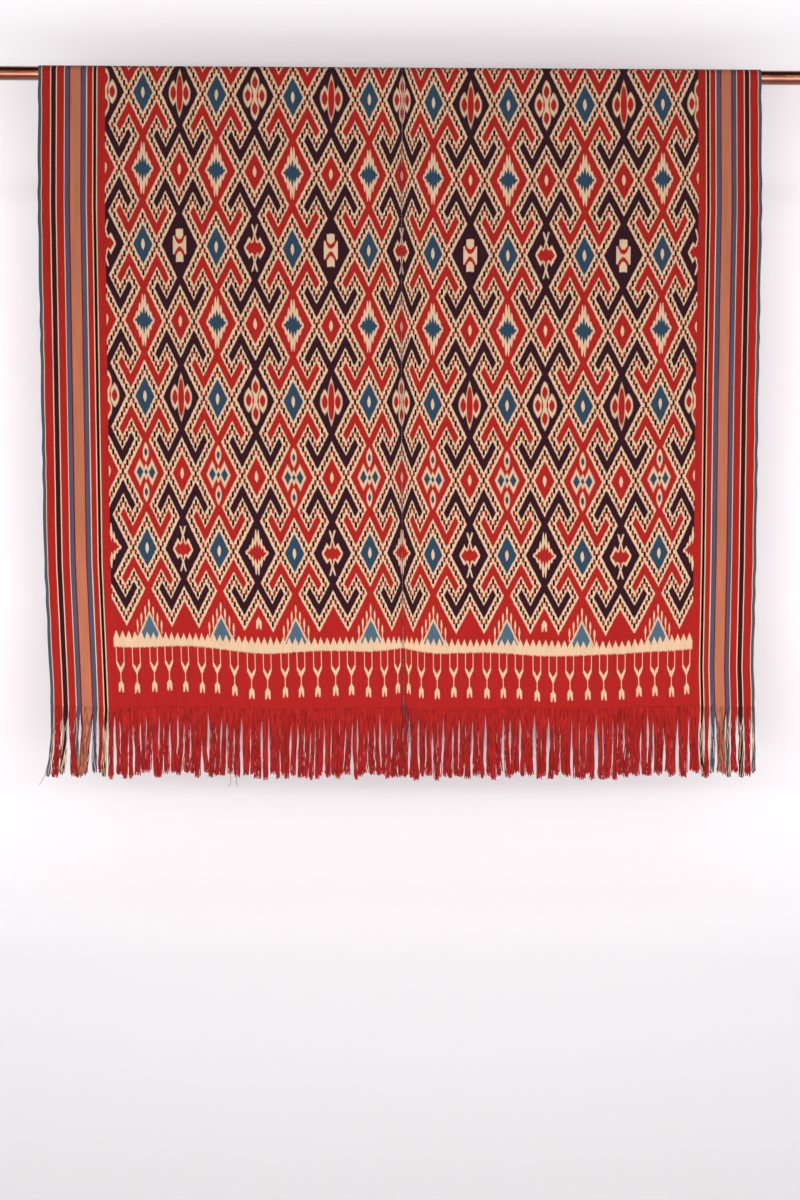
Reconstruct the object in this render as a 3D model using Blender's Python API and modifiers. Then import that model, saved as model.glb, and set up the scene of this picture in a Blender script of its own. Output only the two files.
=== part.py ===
"""Ikat woven cloth of two sewn panels, hung over a plain round rod.

Metres, +Z up. The origin is the middle of the rod's axis, the rod runs along X,
and the cloth's front, the longer half, faces -Y.
"""
import math
import random

import bmesh
import bpy

COLLECTION_NAME = "ikat woven cloth on a rod"

# Rod
ROD_LENGTH = 1.80
ROD_DIAMETER = 0.030
ROD_SIDES = 32

# Sheet
CLOTH_THICKNESS = 0.0015
ROD_CLEARANCE = 0.00045
SEAM_GAP = 0.0005
FRONT_DROP = 1.335
BACK_DROP = 1.180
PANEL_COLUMNS = 12
FRONT_ROWS = 18
BACK_ROWS = 15
BEND_ROWS = 12

# Selvedges and seam on each hanging half, going down from the rod's axis
# drop, left selvedge x, seam x, right selvedge x
FRONT_OUTLINE = (
    (0.000, -0.760, 0.005, 0.759),
    (0.280, -0.759, 0.005, 0.762),
    (0.650, -0.750, 0.007, 0.757),
    (1.030, -0.741, 0.011, 0.754),
    (1.250, -0.729, 0.015, 0.750),
    (1.335, -0.725, 0.016, 0.753),
)
BACK_OUTLINE = (
    (0.000, -0.760, 0.005, 0.759),
    (0.600, -0.746, 0.003, 0.753),
    (1.180, -0.720, -0.002, 0.742),
)

# Soft vertical folds: wavelength, height at the hem, shift along X
FRONT_FOLDS = (
    (0.610, 0.0048, 0.120),
    (0.270, 0.0026, 0.040),
    (0.145, 0.0010, 0.090),
)
BACK_FOLDS = (
    (0.520, 0.0050, 0.300),
    (0.310, 0.0024, 0.010),
)
FOLD_GROWTH = 1.4

# Woven end: the right side is drawn up a little, and the edge ripples
RIGHT_DRAW_UP = 0.011
RIPPLE_LENGTH = 0.330
RIPPLE_HEIGHT = 0.0014

# Fringe
HEM_GAP = 0.0004
STRIP_HEIGHT = 0.005
STRIP_THICKNESS = 0.0030
LOCK_LENGTH = 0.138
LOCK_UNEVEN = 0.006
LOCK_WIDTH_SHARE = 0.68
LOCK_SWAY = 0.0016
CORNER_SPREAD = 0.006
CORNER_LOCKS = 5
FRONT_LOCKS = 62
BACK_LOCKS = 52
FRINGE_SEED = 11

# Sections of a lock: share of its length, share of its root's width
LOCK_SECTIONS = (
    (0.28, 1.06),
    (0.66, 0.84),
    (1.00, 0.58),
)

ROD_RADIUS = ROD_DIAMETER / 2
INNER_RADIUS = ROD_RADIUS + ROD_CLEARANCE
MIDDLE_RADIUS = INNER_RADIUS + CLOTH_THICKNESS / 2
CLOTH_ROWS = FRONT_ROWS + BEND_ROWS + BACK_ROWS

HALVES = {
    "front": {"side": -1, "drop": FRONT_DROP, "outline": FRONT_OUTLINE, "folds": FRONT_FOLDS},
    "back": {"side": 1, "drop": BACK_DROP, "outline": BACK_OUTLINE, "folds": BACK_FOLDS},
}

# Edges of a panel: columns of the outline tables, counted after the drop
PANELS = {
    "left": {"edges": (1, 2), "insets": (0.0, -SEAM_GAP / 2)},
    "right": {"edges": (2, 3), "insets": (SEAM_GAP / 2, 0.0)},
}


def clear_scene():
    for old in list(bpy.data.objects):
        bpy.data.objects.remove(old, do_unlink=True)


def make_collection(name):
    collection = bpy.data.collections.new(name)
    bpy.context.scene.collection.children.link(collection)
    return collection


def make_material(name, colour, roughness, metallic=0.0):
    material = bpy.data.materials.new(name)
    material.use_nodes = True
    shader = material.node_tree.nodes["Principled BSDF"]
    shader.inputs["Base Color"].default_value = (*colour, 1.0)
    shader.inputs["Roughness"].default_value = roughness
    shader.inputs["Metallic"].default_value = metallic
    return material


def add_object(name, bm, material, collection):
    mesh = bpy.data.meshes.new(name)
    bm.to_mesh(mesh)
    bm.free()
    mesh.materials.append(material)
    part = bpy.data.objects.new(name, mesh)
    collection.objects.link(part)
    return part


def between(low, high, share):
    return low + (high - low) * share


def outline_x(outline, column, drop):
    """X of a selvedge or the seam at a drop, straight between the table's rows."""
    for upper, lower in zip(outline, outline[1:]):
        if drop <= lower[0]:
            share = max(0.0, (drop - upper[0]) / (lower[0] - upper[0]))
            return between(upper[column], lower[column], share)
    return outline[-1][column]


def panel_x(panel, half, across, drop):
    """X across a panel, from 0 at its left edge to 1 at its right edge."""
    ends = [
        outline_x(half["outline"], column, drop) + inset
        for column, inset in zip(panel["edges"], panel["insets"])
    ]
    return between(ends[0], ends[1], across)


def fold_depth(half, x, share_down):
    """How far the folds push the sheet towards +Y."""
    depth = sum(
        height * math.sin(2 * math.pi * (x + shift) / length)
        for length, height, shift in half["folds"]
    )
    return depth * share_down ** FOLD_GROWTH


def woven_drop(half, x):
    """Drop of the woven end below the rod's axis at X."""
    right_edge = half["outline"][-1][3]
    drawn_up = RIGHT_DRAW_UP * max(0.0, x / right_edge) ** 1.5
    ripple = RIPPLE_HEIGHT * math.sin(2 * math.pi * x / RIPPLE_LENGTH)
    return half["drop"] - drawn_up + ripple


def hanging_point(panel, half, across, share_down, radius):
    """A point of a hanging half, at a radius from the rod's axis line."""
    x = panel_x(panel, half, across, share_down * half["drop"])
    y = half["side"] * radius + fold_depth(half, x, share_down)
    return x, y, -share_down * woven_drop(half, x)


def draped_point(panel, across, row):
    """A point of a panel's inner face, on row 0 at the front hem."""
    if row < FRONT_ROWS:
        return hanging_point(panel, HALVES["front"], across, 1 - row / FRONT_ROWS, INNER_RADIUS)
    if row > FRONT_ROWS + BEND_ROWS:
        share_down = (row - FRONT_ROWS - BEND_ROWS) / BACK_ROWS
        return hanging_point(panel, HALVES["back"], across, share_down, INNER_RADIUS)
    angle = math.pi * (row - FRONT_ROWS) / BEND_ROWS
    x = panel_x(panel, HALVES["front"], across, 0.0)
    return x, -INNER_RADIUS * math.cos(angle), INNER_RADIUS * math.sin(angle)


def add_panel(name, panel, material, collection):
    """One woven panel: a flat grid draped over the rod and given its thickness."""
    bm = bmesh.new()
    bmesh.ops.create_grid(bm, x_segments=PANEL_COLUMNS, y_segments=CLOTH_ROWS, size=0.5)
    for vert in bm.verts:
        across = vert.co.x + 0.5
        row = round((vert.co.y + 0.5) * CLOTH_ROWS)
        vert.co = draped_point(panel, across, row)
    cloth = add_object(name, bm, material, collection)
    shell = cloth.modifiers.new("cloth thickness", "SOLIDIFY")
    shell.thickness = CLOTH_THICKNESS
    shell.offset = 1.0
    shell.use_even_offset = True
    return cloth


def hem_point(panel, half, across):
    """Middle of the woven end's thickness, straight between the panel's columns."""
    column = min(int(across * PANEL_COLUMNS), PANEL_COLUMNS - 1)
    share = across * PANEL_COLUMNS - column
    ends = [
        hanging_point(panel, half, (column + step) / PANEL_COLUMNS, 1.0, MIDDLE_RADIUS)
        for step in (0, 1)
    ]
    return [between(low, high, share) for low, high in zip(*ends)]


def corner_spread(panel_name, lock, lock_count):
    """Sideways drift of a tip: the locks at the cloth's outer corners fan out."""
    from_corner = lock if panel_name == "left" else lock_count - 1 - lock
    outward = -1 if panel_name == "left" else 1
    return outward * CORNER_SPREAD * max(0.0, 1 - from_corner / CORNER_LOCKS)


def grow_lock(bm, face, length, sway_x, sway_y):
    """Extrude one cell of the strip's underside into a tapering lock."""
    root_centre = face.calc_center_median()
    root_offsets = [vert.co - root_centre for vert in face.verts]
    for down, width in LOCK_SECTIONS:
        face = bmesh.ops.extrude_discrete_faces(bm, faces=[face])["faces"][0]
        centre = root_centre.copy()
        centre.x += sway_x * down
        centre.y += sway_y * down
        centre.z -= length * down
        for vert, offset in zip(face.verts, root_offsets):
            vert.co = centre
            vert.co.x += offset.x * width
            vert.co.y += offset.y


def add_fringe(name, panel_name, half, lock_count, material, collection):
    """A narrow strip under the woven end, with locks of warp hanging from it."""
    panel = PANELS[panel_name]
    chance = random.Random(f"{FRINGE_SEED} {name}")
    gap_share = (1 - LOCK_WIDTH_SHARE) / 2
    cells = 2 * lock_count + 1
    bm = bmesh.new()
    bmesh.ops.create_grid(bm, x_segments=cells, y_segments=1, size=0.5)
    for vert in bm.verts:
        edge = round((vert.co.x + 0.5) * cells)
        inside = gap_share if edge % 2 else -gap_share
        across = min(1.0, max(0.0, (edge // 2 + inside) / lock_count))
        x, y, z = hem_point(panel, half, across)
        y += math.copysign(STRIP_THICKNESS / 2, vert.co.y)
        vert.co = (x, y, z - HEM_GAP - STRIP_HEIGHT)
    bm.faces.ensure_lookup_table()
    undersides = sorted(bm.faces, key=lambda face: face.calc_center_median().x)
    raised = bmesh.ops.extrude_face_region(bm, geom=list(bm.faces))["geom"]
    for part in raised:
        if isinstance(part, bmesh.types.BMVert):
            part.co.z += STRIP_HEIGHT
    for face in undersides:
        if face.normal.z > 0:
            face.normal_flip()
    for lock, face in enumerate(undersides[1::2]):
        length = LOCK_LENGTH + chance.uniform(-LOCK_UNEVEN, LOCK_UNEVEN)
        sway_x = chance.uniform(-LOCK_SWAY, LOCK_SWAY)
        sway_x += corner_spread(panel_name, lock, lock_count)
        sway_y = chance.uniform(-LOCK_SWAY, LOCK_SWAY)
        grow_lock(bm, face, length, sway_x, sway_y)
    bmesh.ops.recalc_face_normals(bm, faces=list(bm.faces))
    return add_object(name, bm, material, collection)


def add_rod(material, collection):
    bm = bmesh.new()
    bmesh.ops.create_cone(
        bm,
        cap_ends=True,
        segments=ROD_SIDES,
        radius1=ROD_RADIUS,
        radius2=ROD_RADIUS,
        depth=ROD_LENGTH,
    )
    rod = add_object("rod", bm, material, collection)
    rod.data.shade_smooth()
    rod.data.set_sharp_from_angle(angle=math.radians(40))
    rod.rotation_euler.y = math.pi / 2
    return rod


def build():
    clear_scene()
    collection = make_collection(COLLECTION_NAME)
    woven_red = make_material("woven red cotton", (0.42, 0.022, 0.024), 0.9)
    warp_red = make_material("loose red warp", (0.38, 0.020, 0.022), 0.9)
    bronze = make_material("bronze brown rod", (0.20, 0.085, 0.055), 0.35, 0.9)
    add_rod(bronze, collection)
    for panel_name, panel in PANELS.items():
        add_panel(f"panel_{panel_name}", panel, woven_red, collection)
        for half_name, lock_count in (("front", FRONT_LOCKS), ("back", BACK_LOCKS)):
            name = f"fringe_{half_name}_{panel_name}"
            add_fringe(name, panel_name, HALVES[half_name], lock_count, warp_red, collection)


build()
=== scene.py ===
import math
import random

import bmesh
import bpy
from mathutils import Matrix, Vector


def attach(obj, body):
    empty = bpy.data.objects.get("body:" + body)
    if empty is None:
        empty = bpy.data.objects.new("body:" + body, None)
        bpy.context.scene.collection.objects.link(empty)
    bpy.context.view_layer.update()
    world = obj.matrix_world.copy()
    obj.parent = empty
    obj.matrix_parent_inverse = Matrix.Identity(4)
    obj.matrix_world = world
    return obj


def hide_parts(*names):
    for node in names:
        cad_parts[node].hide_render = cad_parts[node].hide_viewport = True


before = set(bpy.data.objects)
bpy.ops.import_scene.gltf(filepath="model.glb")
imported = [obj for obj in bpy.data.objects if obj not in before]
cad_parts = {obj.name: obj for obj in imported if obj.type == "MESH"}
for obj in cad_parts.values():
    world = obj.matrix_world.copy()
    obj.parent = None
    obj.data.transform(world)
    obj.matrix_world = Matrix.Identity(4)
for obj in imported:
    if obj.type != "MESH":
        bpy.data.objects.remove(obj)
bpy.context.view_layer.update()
print("frame loaded")

photo = {  # the picture's own measures in pixels, and the real size of a pixel
    "height": 1200,
    "metresPerPixel": 0.0021,
    "rodMiddleDown": 74.2,  # where the rod's height falls on the cloth's front
    "rodSlope": 0.0061,  # the rod sinks this much towards the right
    "cameraDistance": 6.0,
}


def srgb(*levels):
    # A screen colour from 0 to 255 as the linear colour that a shader takes
    shares = [level / 255 for level in levels]
    linear = [share / 12.92 if share <= 0.04045 else ((share + 0.055) / 1.055) ** 2.4 for share in shares]
    return (*linear, 1.0)


dyes = {
    "red": srgb(151, 26, 22),
    "deepRed": srgb(112, 13, 24),
    "cream": srgb(198, 168, 136),
    "brown": srgb(42, 12, 23),
    "soot": srgb(22, 11, 8),
    "rust": srgb(124, 31, 22),
    "orange": srgb(165, 99, 72),
    "slate": srgb(60, 73, 93),
    "indigo": srgb(37, 60, 79),
    "washedBlue": srgb(66, 90, 106),
    "selvedgeBlue": srgb(66, 80, 92),
    "paleThread": srgb(152, 144, 162),
    "darkThread": srgb(108, 74, 94),
    "tarnish": srgb(122, 70, 54),
    "bronze": srgb(166, 104, 82),
    "paper": srgb(252, 249, 251),
}


class Wire:
    # A number on its way through a node tree, so that a pattern reads as arithmetic

    def __init__(self, tree, socket):
        self.tree = tree
        self.socket = socket

    def math(self, operation, *others, clamp=False):
        inputs = dict(enumerate((self, *others)))
        node = addNode(self.tree, "ShaderNodeMath", inputs, operation=operation, use_clamp=clamp)
        return Wire(self.tree, node.outputs[0])

    def __add__(self, other):
        return self.math("ADD", other)

    def __sub__(self, other):
        return self.math("SUBTRACT", other)

    def __mul__(self, other):
        return self.math("MULTIPLY", other)

    def __truediv__(self, other):
        return self.math("DIVIDE", other)

    def __neg__(self):
        return self.math("MULTIPLY", -1.0)

    def size(self):
        return self.math("ABSOLUTE")

    def nearest(self):
        return self.math("ROUND")

    def fold(self, width):
        return self.math("PINGPONG", width)

    def least(self, other):
        return self.math("MINIMUM", other)

    def most(self, other):
        return self.math("MAXIMUM", other)

    def under(self, limit, blur=0.3):
        return self.math("MULTIPLY_ADD", -1 / blur, limit / blur + 0.5, clamp=True)

    def over(self, limit, blur=0.3):
        return self.math("MULTIPLY_ADD", 1 / blur, 0.5 - limit / blur, clamp=True)

    def within(self, low, high, blur=0.3):
        return self.over(low, blur) * self.under(high, blur)

    def odd(self):
        return (self - (self * 0.5).math("FLOOR") * 2).over(0.5, 0.1)


def feed(tree, place, value):
    if isinstance(value, Wire):
        tree.links.new(value.socket, place)
    elif isinstance(value, bpy.types.NodeSocket):
        tree.links.new(value, place)
    else:
        place.default_value = value


def addNode(tree, kind, inputs=None, **settings):
    # A node with its settings, and what its inputs hold or are fed from, by name or number
    node = tree.nodes.new(kind)
    for label, value in settings.items():
        setattr(node, label, value)
    for label, value in (inputs or {}).items():
        feed(tree, node.inputs[label], value)
    return node


def either(first, *others):
    for other in others:
        first = first.most(other)
    return first


def both(first, *others):
    for other in others:
        first = first * other
    return first


def oval(x, y, halfWidth, halfHeight, blur=0.3):
    return ((x / halfWidth).math("POWER", 2.0) + (y / halfHeight).math("POWER", 2.0)).under(1, blur)


def spindle(x, y, halfWidth, halfHeight, blur=0.3):
    return (x.size() / halfWidth + (y / halfHeight).math("POWER", 2.0)).under(1, blur)


def lozenge(x, y, halfWidth, halfHeight, blur=0.25):
    return (x.size() / halfWidth + y.size() / halfHeight).under(1, blur)


def paint(tree, base, colour, mask):
    return addNode(tree, "ShaderNodeMix", {0: mask, 6: base, 7: colour}, data_type="RGBA").outputs[2]


def makeGroup(name, inputs, outputs, kind="ShaderNodeTree"):
    group = bpy.data.node_groups.new(name, kind)
    for way, sockets in (("INPUT", inputs), ("OUTPUT", outputs)):
        for label, sort in sockets:
            group.interface.new_socket(label, in_out=way, socket_type=f"NodeSocket{sort}")
    return group, group.nodes.new("NodeGroupInput"), group.nodes.new("NodeGroupOutput")


def useGroup(tree, group, **values):
    return addNode(tree, "ShaderNodeGroup", values, node_tree=group)


# Striped side borders, from the selvedge towards the ikat field: dye, width in metres
borderStripes = (
    ("selvedgeBlue", 0.0062),
    ("cream", 0.0019),
    ("red", 0.0172),
    ("cream", 0.0022),
    ("brown", 0.0096),
    ("cream", 0.0022),
    ("red", 0.0150),
    ("cream", 0.0020),
    ("slate", 0.0083),
    ("deepRed", 0.0030),
    ("orange", 0.0214),
    ("deepRed", 0.0030),
    ("slate", 0.0088),
    ("cream", 0.0023),
    ("red", 0.0108),
    ("cream", 0.0022),
    ("soot", 0.0061),
    ("cream", 0.0024),
)
borderWidth = 0.1415


def stripeGroup():
    # Colour of a warp thread by its distance from the selvedge
    group, start, end = makeGroup("warpStripes", [("across", "Float")], [("Color", "Color")])
    ramp = group.nodes.new("ShaderNodeValToRGB")
    ramp.color_ramp.interpolation = "CONSTANT"
    stops = ramp.color_ramp.elements
    place = 0.0
    for number, (dye, width) in enumerate(borderStripes):
        stop = stops[0] if number == 0 else stops.new(place / borderWidth)
        stop.color = dyes[dye]
        place += width
    stops[len(stops) - 1].position = 1.0
    stops[len(stops) - 1].color = dyes["red"]
    last = stops.new(place / borderWidth)
    last.color = dyes["red"]
    across = Wire(group, start.outputs["across"])
    feed(group, ramp.inputs[0], across / borderWidth)
    feed(group, end.inputs[0], ramp.outputs[0])
    return group


figures = {  # in ikat units: half a figure is 16 units wide and 16 high
    "halfFigure": 16.0,
    "threadBundle": 0.0012,
    "jitter": 0.13,
    "bleed": 0.26,
    "dotHalfWidth": 1.02,
    "dotHalfHeight": 0.66,
    "combPitch": 1.27,
    "bandTop": -20.7,
    "bandBottom": -22.35,
    "seamRise": 1.0,  # of the band and the forks
    "bandWave": 0.36,
    "peakHeight": 1.7,
    "peakPitch": 2.7,
    "forkPitch": 7.2,
    "forkStart": 2.6,
}


def ikatGroup():
    # Warp ikat figures on a lattice: brown lozenges and hooks turn into red ones half a figure on
    inputs = [("column", "Float"), ("row", "Float")]
    group, start, end = makeGroup("ikatFigures", inputs, [("Color", "Color")])
    half = figures["halfFigure"]
    blur = figures["bleed"]
    column = Wire(group, start.outputs["column"])
    row = Wire(group, start.outputs["row"])
    row = row.least(-row + 12 * half)
    upper = row.over(0.0, 0.1)
    x = column.fold(half)
    y = row.most(0.0).fold(half) + (-row).most(0.0)
    total = x + y
    slant = y - x

    # Bands that run along the lattice's two diagonals
    brown = either(
        total.under(8.05, blur),
        both(total.within(17.4, 20.35, blur), slant.within(-2.2, 8.35, blur)),
        both(slant.within(5.4, 8.35, blur), total.under(20.35, blur)),
    )
    red = either(
        slant.over(11.75, blur),
        total.over(23.85, blur),
        both(total.within(11.65, 14.6, blur), slant.within(-8.35, 2.2, blur)),
        both(slant.within(-8.35, -5.4, blur), total.over(11.65, blur)),
    )
    blue = slant.under(-11.75, blur)

    # Chains of dots in the cream bands: the axis they keep to, its value, and their reach on the other axis
    chains = (
        ("total", 10, -10, 4),
        ("slant", 4, 10, 16),
        ("total", 16, -4, 4),
        ("slant", -4, 16, 22),
        ("total", 22, -4, 10),
        ("slant", -10, 10, 22),
        ("slant", 10, 10, 22),
    )
    thread = x.nearest()
    away = None
    for axis, value, low, high in chains:
        side = 1.0 if axis == "total" else -1.0
        outside = -(thread * (-2 * side) + value).within(low - 0.5, high + 0.5, 0.1) + 1.0
        distance = (y + thread * side - value).size() + outside * 9
        away = distance if away is None else away.least(distance)
    oddThread = thread.odd()
    tall = oddThread * -0.05 + figures["dotHalfHeight"]
    dots = oval(x - thread, away / tall, figures["dotHalfWidth"], 1.0, 0.4)

    colour = paint(group, dyes["cream"], dyes["brown"], brown)
    colour = paint(group, colour, dyes["red"], red)
    colour = paint(group, colour, dyes["indigo"], blue)
    colour = paint(group, colour, dyes["soot"], dots * (-oddThread + 1.0))
    colour = paint(group, colour, dyes["rust"], dots * oddThread)

    colour = lozengeFigures(group, colour, column, row, x, y)
    colour = redFieldFigures(group, colour, row, x, y, upper)
    colour = lowerBorder(group, colour, column, row, x)
    feed(group, end.inputs[0], colour)
    return group


def comb(x, shift=0.0):
    # Teeth left by tied bundles of warp: 1 on a tooth and 0 between two
    return (x * (math.pi / figures["combPitch"]) + shift).math("COSINE").size()


def lozengeFigures(group, colour, column, row, x, y):
    # Inside the brown lozenges, by row and by odd or even column. Like all the figures, they are charted in
    # ikat units from their middle.
    half = figures["halfFigure"]
    rowNumber = (row.most(0.0) / (2 * half)).nearest()
    oddColumn = (column / (2 * half)).nearest().odd()
    evenColumn = -oddColumn + 1.0
    first = rowNumber.under(0.5, 0.1)
    crossed = rowNumber.within(1.5, 2.5, 0.1)
    barred = (-(first + crossed) + 1.0).most(0.0)
    near = (x + y).under(8.5, 0.2)
    teeth = comb(x, math.pi / 2)
    rays = comb(x)

    barCream = either(spindle(x, y, 1.75, 5.1), spindle(x - 2.75, y, 1.9, 2.7))
    barRed = either(oval(x, y, 1.3, 4.0), spindle(x - 2.75, y, 1.25, 1.7))
    petal = y.size() - 2.77
    fourCream = either(spindle(x, petal, 1.75, 2.5), spindle(x - 2.95, y, 1.95, 2.6), oval(x, y, 1.7, 1.1))
    fourRed = either(
        spindle(x, petal, 1.2, 1.45),
        spindle(x - 2.95, y, 1.2, 1.4),
        oval(x - 1.05, y, 0.38, 0.85),
    )

    ridge = x.fold(1.2) / -1.2 + 1.0
    knotTop = (-x + 4.6).least(ridge * 0.95 + 1.4)
    spikes = (x - (y.size() - 2.9).size() * 0.54).size().under(0.36, 0.25)
    knotCream = either(
        both((y.size() - knotTop).under(0, 0.3), x.under(4.4, 0.2)),
        both(spikes, y.size().within(1.2, 4.9, 0.4)),
    )
    knotRedTop = (x * -0.8 + 3.0).least(ridge * 0.65 + 1.0)
    knotRed = either((y.size() - knotRedTop).under(0, 0.3), spindle(x, y.size() - 1.7, 0.4, 0.8))

    starTop = (x / -4.9 + 1.0).most(0.0).math("POWER", 1.5) * (teeth * 0.5 + 0.5) * 5.7
    starCream = (y.size() - starTop - 0.25).under(0, 0.3) * x.under(4.9, 0.2)
    starRed = (y.size() - (x / -4.1 + 1.0) * (rays * 0.5 + 0.5) * 2.7).under(0, 0.3)

    outerArc = y.size() - (x / 2.3).math("POWER", 2.0) * 1.55 - 0.3
    innerArc = y.size() - (x / 1.75).math("POWER", 2.0) * 1.1 - 1.25
    crossCream = either(
        both(x.under(2.9, 0.15), y.size().under(1.9, 0.15), outerArc.under(0, 0.2)),
        both(x.under(1.6, 0.15), y.size().under(3.45, 0.15), innerArc.over(0, 0.2)),
    )
    crossRed = both(outerArc.over(0, 0.2), innerArc.under(0, 0.2), y.size().under(2.1))

    odd = {
        "cream": either(barCream * barred, crossCream * crossed, knotCream * first),
        "red": either(barRed * barred, crossRed * crossed, knotRed * first),
    }
    even = {
        "cream": either(fourCream * barred, knotCream * crossed, starCream * first),
        "red": either(fourRed * barred, knotRed * crossed, starRed * first),
    }
    for dye in ("cream", "red"):
        mask = (odd[dye] * oddColumn).most(even[dye] * evenColumn) * near
        colour = paint(group, colour, dyes[dye], mask)
    return colour


def redFieldFigures(group, colour, row, x, y, upper):
    # Inside the blue, small red and large red lozenges
    half = figures["halfFigure"]
    farX = -x + half
    farY = -y + half
    eyes = either(spindle(farX, y, 0.75, 1.25), spindle(x, farY, 0.75, 1.2) * upper)
    colour = paint(group, colour, dyes["cream"], eyes)

    butterflyRow = row.within(0.0, 2 * half, 0.1)
    starRow = row.over(2 * half, 0.1)
    near = (farX + farY).under(8, 0.2)
    teeth = comb(farX, math.pi / 2)
    rays = comb(farX)
    starTop = (farX / -4.7 + 1.0).most(0.0).math("POWER", 1.2) * (teeth * 0.4 + 0.6) * 6.2
    starCream = (farY - starTop - 0.2).under(0, 0.3) * farX.under(4.6, 0.2)
    starBlue = (farY - (farX / -4.0 + 1.0) * (rays * 0.5 + 0.5) * 2.9).under(0, 0.3)
    wing = farX - 2.62
    wingCream = either(
        lozenge(wing, farY, 2.5, 2.8),
        lozenge(farX, farY, 1.5, 1.7),
        spindle(farX, farY - 4.2, 1.3, 2.1),
    )
    wingBlue = either(
        lozenge(wing, farY, 1.5, 1.5),
        lozenge(farX, farY, 0.75, 0.8),
        spindle(farX, farY - 4.2, 0.7, 0.9),
    )
    cream = either(starCream * starRow, wingCream * butterflyRow) * near
    blue = either(starBlue * starRow, wingBlue * butterflyRow) * near
    colour = paint(group, colour, dyes["cream"], cream)
    return paint(group, colour, dyes["indigo"], blue)


def arrowHead(x, y):
    # A forked cream head that points up from y = 0
    outer = (x.size() - (y * 1.1 + 0.15).least(1.12)).under(0, 0.2)
    notch = (x.size() - (y - 1.35) * 0.42).over(0, 0.2)
    return both(outer, notch, y.within(0.0, 2.6, 0.3))


def lowerBorder(group, colour, column, row, x):
    # Blue hills with cream rays, the cream band with its peaks, and hanging forks with arrow heads
    half = figures["halfFigure"]
    low = row.under(-8, 0.1)
    down = -row
    hill = -x + half
    hillCream = (hill / 3.95 - (down - 14.2) / 4.4).under(0, 0.12) * down.within(13.0, 21.5, 0.2)
    hillBlue = (hill / 3.95 - (down - 15.1) / 4.4).under(0, 0.12) * down.under(21.2, 0.3)
    ray = (hill / 1.76).nearest()
    rayX = hill - ray * 1.76
    rayY = down - ray * 1.57 - 12.7
    rayPlace = ray.under(3.5, 0.1)
    rayStem = both(rayX.size().under(0.18, 0.2), rayY.within(0.0, 2.0, 0.2))
    rays = spindle(rayX, rayY, 0.4, 1.2, 0.35).most(rayStem)
    arrowX = column - 4 * half
    arrow = arrowHead(arrowX, down - 14.6) * arrowX.size().under(3, 0.1)
    cream = either(hillCream, rays * rayPlace, arrow)

    seamRise = column.over(118, 16) * figures["seamRise"]
    wave = (column * 0.105 + 1.2).math("SINE") * figures["bandWave"] - seamRise
    peaks = (column / figures["peakPitch"]).fold(0.5) * (2 * figures["peakHeight"])
    bandEdge = row - peaks
    band = bandEdge.under(figures["bandTop"], 0.25) * (row + wave).over(figures["bandBottom"], 0.3)

    forkPlace = (column - figures["forkStart"]) / figures["forkPitch"]
    fork = forkPlace.nearest()
    drop = wave + (fork * 1.7).math("SINE") * 0.2
    forkX = ((forkPlace - fork) * figures["forkPitch"] + (fork * 2.3).math("SINE") * 0.25).size()
    forkY = down - drop
    prongs = both(
        (forkX - ((-forkY + 28.4) * 0.82 + 0.1).least(1.8)).under(0, 0.18),
        (forkX - ((-forkY + 27.0) * 1.15).least(1.5)).over(0, 0.18),
        forkY.within(21.6, 28.5, 0.3),
    )
    stem = both(forkX.under(0.17, 0.16), forkY.within(27.0, 30.6, 0.3))
    head = arrowHead(forkX, forkY - 30.0)
    forks = either(prongs, stem, head) * forkPlace.over(-0.4, 0.1)

    colour = paint(group, colour, dyes["cream"], cream * low)
    colour = paint(group, colour, dyes["washedBlue"], hillBlue * low)
    return paint(group, colour, dyes["cream"], band.most(forks) * low)


weave = {
    "weftPitch": 0.0018,
    "warpPitch": 0.0009,
    "thread": {"across": 900, "along": 6, "detail": 2.0, "strength": 0.20},
    "patch": {"across": 60, "along": 9, "detail": 3.0, "strength": 0.11},
    "paintedFoldShade": 0.32,  # painted shade: the cloth is darker towards its fold over the rod
    "foldPlace": 1.384,
    "foldReach": 1.2,
    "lastWeft": 0.0045,
}


def weaveGroup():
    # Relief and shade of the warp-faced weave, from metres across and along the cloth. Its shade holds random
    # tone and painted shade.
    group, start, end = makeGroup(
        "warpFacedWeave",
        [("across", "Float"), ("along", "Float")],
        [("Height", "Float"), ("Shade", "Float")],
    )
    across = Wire(group, start.outputs["across"])
    along = Wire(group, start.outputs["along"])

    def streaks(kind):
        # Soft unevenness on both sides of zero, finer across than along
        streak = weave[kind]
        inputs = {0: across * streak["across"], 1: along * streak["along"]}
        place = addNode(group, "ShaderNodeCombineXYZ", inputs)
        inputs = {"Vector": place.outputs[0], "Scale": 1.0, "Detail": streak["detail"]}
        noise = addNode(group, "ShaderNodeTexNoise", inputs, noise_dimensions="2D")
        return (Wire(group, noise.outputs[0]) - 0.5) * (2 * streak["strength"])

    warp = (across * (2 * math.pi / weave["warpPitch"])).math("SINE")
    # Weft ribs: relief in the bump, and painted shade between them in the colour
    weft = (along * (2 * math.pi / weave["weftPitch"])).math("SINE")
    # Painted shade that darkens the cloth towards its fold over the rod
    fromFold = (along - weave["foldPlace"]).size().least(weave["foldReach"])
    paintedFoldShade = (fromFold / weave["foldReach"] - 1.0) * weave["paintedFoldShade"]
    lastWeft = (along - weave["lastWeft"]).size().under(0.0009, 0.0008) * 0.12
    shade = streaks("thread") + streaks("patch") + paintedFoldShade + lastWeft + weft * 0.04 + 1.04
    feed(group, end.inputs["Height"], weft * 0.55 + warp * 0.45)
    feed(group, end.inputs["Shade"], shade)
    return group


def newMaterial(name, roughness, **sockets):
    material = bpy.data.materials.new(name)
    material.use_nodes = True
    shader = material.node_tree.nodes["Principled BSDF"]
    shader.inputs["Roughness"].default_value = roughness
    for label, value in sockets.items():
        shader.inputs[label.replace("_", " ")].default_value = value
    return material, material.node_tree, shader


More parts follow.
